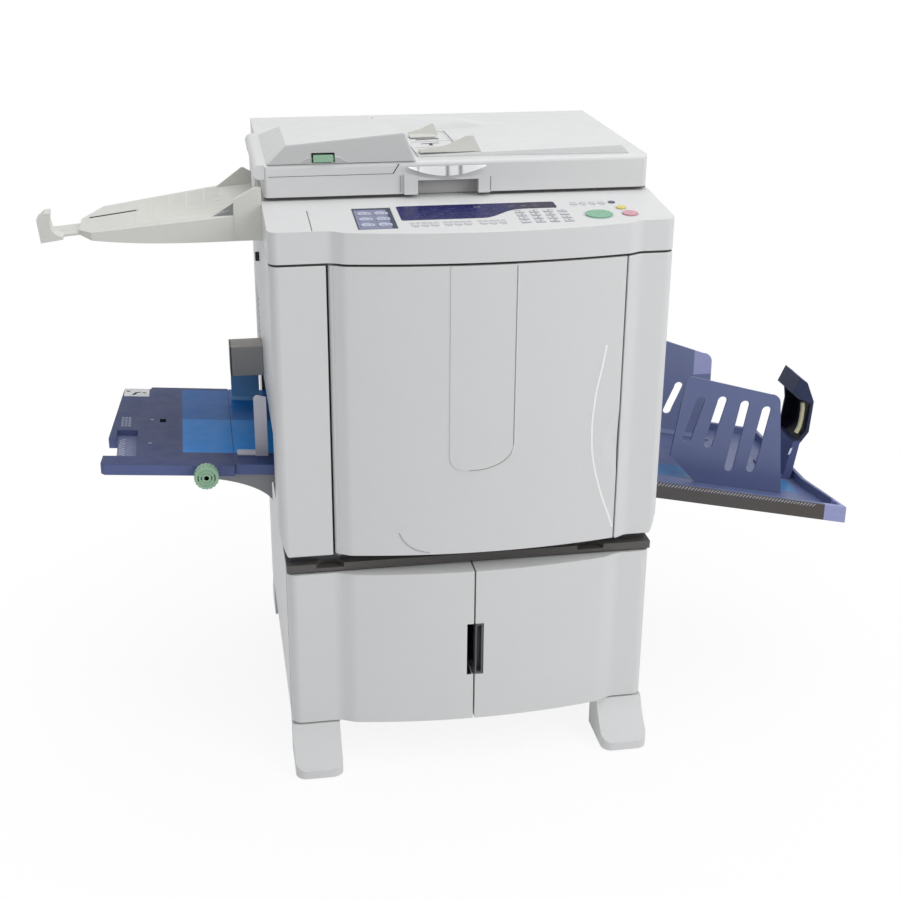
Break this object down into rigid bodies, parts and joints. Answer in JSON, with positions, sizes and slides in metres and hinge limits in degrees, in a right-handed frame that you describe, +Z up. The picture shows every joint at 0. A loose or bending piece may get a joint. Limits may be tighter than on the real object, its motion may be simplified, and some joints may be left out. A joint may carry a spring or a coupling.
{
  "type": "digital duplicator",
  "caption": "Floor-standing digital duplicator on a cabinet stand, with flat-bed scanner, sheet feeder lid, folding paper feed tray and receiving tray.",
  "frame": {"origin": "On the floor, under the middle of the overall width with both trays out. The body stands 27.5 mm to the left of it.", "axes": "+X to the right seen from the front, along the long side with the trays. +Y to the back. +Z up."},
  "size_m": [1.445, 0.724, 1.1056],
  "materials": {
    "shell_white": "satin",
    "stand_white": "satin",
    "tray_white": "satin",
    "ledge_grey": "satin",
    "grip_dark": "satin",
    "frame_steel": "satin",
    "pin_steel": "satin",
    "feed_blue": "satin",
    "catch_blue": "satin",
    "stopper_navy": "satin",
    "housing_grey": "satin",
    "carrier_grey": "satin",
    "pale_green": "satin",
    "start_green": "gloss",
    "stop_pink": "gloss",
    "test_yellow": "gloss",
    "key_grey": "satin",
    "display_dark": "gloss",
    "stage_glass": "clear",
    "pad_white": "soft",
    "rubber_black": "matt",
    "rubber_grey": "matt",
    "drum_steel": "satin",
    "carriage_alu": "satin",
    "ink_body": "satin",
    "gear_white": "satin",
    "motor_black": "satin",
    "roll_white": "matt",
    "box_clear": "satin",
    "board_green": "satin",
    "switch_black": "gloss"
  },
  "bodies": {
    "machine": {"stand_cabinet": "stand_white", "skids": "shell_white", "foot_pads": "rubber_black", "stand_ledge": "ledge_grey", "hinge_pins": "pin_steel", "base_pan": "frame_steel", "front_frame": "frame_steel", "rear_frame": "frame_steel", "left_side_cover": "shell_white", "right_side_cover": "shell_white", "rear_cover": "shell_white", "control_panel": "shell_white", "display_window": "display_dark", "scanner_housing": "shell_white", "stage_glass": "stage_glass", "original_tray": "tray_white", "feed_housing": "housing_grey", "drum_carrier": "housing_grey", "ink_cartridge": "ink_body", "main_motor": "motor_black", "thermal_head": "carriage_alu", "used_master_box": "box_clear", "exit_belt_unit": "housing_grey", "receiving_tray": "catch_blue", "electrical_unit": "board_green"},
    "lid": {"lid_base": "shell_white", "lid_pad": "pad_white", "document_tray": "tray_white"},
    "stand_door_right": {"stand_door_right": "shell_white", "door_grip": "grip_dark"},
    "front_cover": {"front_cover": "shell_white"},
    "stand_door_left": {"stand_door_left": "shell_white"},
    "feeder_cover": {"feeder_cover": "shell_white"},
    "release_lever": {"release_lever": "pale_green"},
    "feeder_rollers": {"feeder_rollers": "rubber_grey"},
    "document_guide_front": {"document_guide_front": "tray_white"},
    "document_guide_rear": {"document_guide_rear": "tray_white"},
    "original_stop": {"original_stop": "tray_white"},
    "feed_carrier": {"feed_carrier": "carrier_grey"},
    "shift_dial": {"shift_dial": "pale_green"},
    "feed_table": {"feed_table": "feed_blue"},
    "feed_tray": {"feed_tray": "feed_blue"},
    "feed_guide_front": {"feed_guide_front": "tray_white"},
    "feed_guide_rear": {"feed_guide_rear": "feed_blue"},
    "receiving_guide_front": {"receiving_guide_front": "catch_blue"},
    "receiving_guide_rear": {"receiving_guide_rear": "catch_blue"},
    "paper_stopper": {"paper_stopper": "stopper_navy"},
    "scan_carriage": {"scan_carriage": "carriage_alu"},
    "print_drum": {"print_drum": "drum_steel"},
    "drive_pinion": {"drive_pinion": "gear_white"},
    "pressure_roller": {"pressure_roller": "rubber_black"},
    "timing_roller": {"timing_roller": "rubber_grey"},
    "pickup_roller": {"pickup_roller": "rubber_grey"},
    "master_roll": {"master_roll": "roll_white"},
    "function_keys": {"function_keys": "key_grey"},
    "number_keys": {"number_keys": "key_grey"},
    "start_key": {"start_key": "start_green"},
    "stop_key": {"stop_key": "stop_pink"},
    "test_key": {"test_key": "test_yellow"},
    "power_switch": {"power_switch": "switch_black"}
  },
  "joints": [
    {"name": "front_cover_hinge", "type": "hinge", "parent": "machine", "child": "front_cover", "pos_m": [-0.2605, -0.296, 0.675], "axis": [0, 0, -1], "range_deg": [0, 90]},
    {"name": "stand_door_left_hinge", "type": "hinge", "parent": "machine", "child": "stand_door_left", "pos_m": [-0.3345, -0.285, 0.233], "axis": [0, 0, -1], "range_deg": [0, 100]},
    {"name": "stand_door_right_hinge", "type": "hinge", "parent": "machine", "child": "stand_door_right", "pos_m": [0.2795, -0.285, 0.233], "axis": [0, 0, 1], "range_deg": [0, 100]},
    {"name": "lid_hinge", "type": "hinge", "parent": "machine", "child": "lid", "pos_m": [-0.0275, 0.327, 1.008], "axis": [-1, 0, 0], "range_deg": [0, 60]},
    {"name": "feeder_cover_hinge", "type": "hinge", "parent": "lid", "child": "feeder_cover", "pos_m": [-0.3515, 0, 1.0612], "axis": [0, -1, 0], "range_deg": [0, 50]},
    {"name": "release_lever_hinge", "type": "hinge", "parent": "feeder_cover", "child": "release_lever", "pos_m": [-0.257, -0.131, 1.0666], "axis": [-1, 0, 0], "range_deg": [0, 6], "stiffness_Nm_per_rad": 0.2},
    {"name": "feeder_roller_spin", "type": "hinge", "parent": "lid", "child": "feeder_rollers", "pos_m": [-0.1975, 0, 1.078], "axis": [0, 1, 0], "continuous": true},
    {"name": "document_guide_slide", "type": "slide", "parent": "lid", "child": "document_guide_front", "axis": [0, 1, 0], "range_m": [-0.012, 0.05]},
    {"name": "document_guide_rear_slide", "type": "slide", "parent": "lid", "child": "document_guide_rear", "axis": [0, -1, 0], "range_m": [-0.012, 0.05]},
    {"name": "original_stop_slide", "type": "slide", "parent": "machine", "child": "original_stop", "axis": [-0.9964, 0, -0.0844], "range_m": [-0.02, 0.055]},
    {"name": "feed_lift", "type": "slide", "parent": "machine", "child": "feed_carrier", "axis": [0, 0, -1], "range_m": [0, 0.08]},
    {"name": "shift_dial_turn", "type": "hinge", "parent": "feed_carrier", "child": "shift_dial", "pos_m": [-0.4795, -0.2, 0.54305], "axis": [0, 1, 0], "range_deg": [-288, 288]},
    {"name": "feed_shift", "type": "slide", "parent": "feed_carrier", "child": "feed_table", "axis": [0, 1, 0], "range_m": [-0.008, 0.008]},
    {"name": "feed_fold", "type": "hinge", "parent": "feed_table", "child": "feed_tray", "pos_m": [-0.4295, 0, 0.551], "axis": [0, 1, 0], "range_deg": [0, 85]},
    {"name": "feed_guide_slide", "type": "slide", "parent": "feed_table", "child": "feed_guide_front", "axis": [0, 1, 0], "range_m": [-0.02, 0.09]},
    {"name": "feed_guide_rear_slide", "type": "slide", "parent": "feed_table", "child": "feed_guide_rear", "axis": [0, -1, 0], "range_m": [-0.02, 0.09]},
    {"name": "receiving_guide_front_slide", "type": "slide", "parent": "machine", "child": "receiving_guide_front", "axis": [0, 1, 0], "range_m": [-0.055, 0.05]},
    {"name": "receiving_guide_rear_slide", "type": "slide", "parent": "machine", "child": "receiving_guide_rear", "axis": [0, -1, 0], "range_m": [-0.03, 0.07]},
    {"name": "paper_stopper_slide", "type": "slide", "parent": "machine", "child": "paper_stopper", "axis": [-0.9789, 0, 0.2045], "range_m": [0, 0.25]},
    {"name": "scan_carriage_slide", "type": "slide", "parent": "machine", "child": "scan_carriage", "axis": [1, 0, 0], "range_m": [0, 0.35]},
    {"name": "drum_spin", "type": "hinge", "parent": "machine", "child": "print_drum", "pos_m": [-0.0125, 0, 0.655], "axis": [0, 1, 0], "continuous": true},
    {"name": "pinion_spin", "type": "hinge", "parent": "machine", "child": "drive_pinion", "pos_m": [0.07351, 0.21, 0.59477], "axis": [0, 1, 0], "continuous": true},
    {"name": "pressure_spin", "type": "hinge", "parent": "machine", "child": "pressure_roller", "pos_m": [-0.0125, 0, 0.5405], "axis": [0, 1, 0], "continuous": true},
    {"name": "timing_spin", "type": "hinge", "parent": "machine", "child": "timing_roller", "pos_m": [-0.1775, 0, 0.542], "axis": [0, 1, 0], "continuous": true},
    {"name": "pickup_spin", "type": "hinge", "parent": "machine", "child": "pickup_roller", "pos_m": [-0.2895, 0, 0.584], "axis": [0, 1, 0], "continuous": true},
    {"name": "master_roll_spin", "type": "hinge", "parent": "machine", "child": "master_roll", "pos_m": [-0.2425, 0, 0.85], "axis": [0, 1, 0], "continuous": true},
    {"name": "function_keys_press", "type": "slide", "parent": "machine", "child": "function_keys", "axis": [0, 0.0805, -0.9968], "range_m": [0, 0.0008], "stiffness_N_per_m": 300},
    {"name": "number_keys_press", "type": "slide", "parent": "machine", "child": "number_keys", "axis": [0, 0.0805, -0.9968], "range_m": [0, 0.001], "stiffness_N_per_m": 300},
    {"name": "start_key_press", "type": "slide", "parent": "machine", "child": "start_key", "axis": [0, 0.0805, -0.9968], "range_m": [0, 0.0015], "stiffness_N_per_m": 300},
    {"name": "stop_key_press", "type": "slide", "parent": "machine", "child": "stop_key", "axis": [0, 0.0805, -0.9968], "range_m": [0, 0.0015], "stiffness_N_per_m": 300},
    {"name": "test_key_press", "type": "slide", "parent": "machine", "child": "test_key", "axis": [0, 0.0805, -0.9968], "range_m": [0, 0.0015], "stiffness_N_per_m": 300},
    {"name": "power_switch_rock", "type": "hinge", "parent": "machine", "child": "power_switch", "pos_m": [0.3005, 0.25, 0.54], "axis": [0, 1, 0], "range_deg": [-8, 8]}
  ],
  "couplings": [
    {"joint": "document_guide_rear_slide", "follows": "document_guide_slide", "ratio": 1},
    {"joint": "feed_guide_rear_slide", "follows": "feed_guide_slide", "ratio": 1},
    {"joint": "shift_dial_turn", "follows": "feed_shift", "rad_per_m": 628.32},
    {"joint": "pinion_spin", "follows": "drum_spin", "ratio": -4},
    {"joint": "pressure_spin", "follows": "drum_spin", "ratio": -3.75}
  ]
}
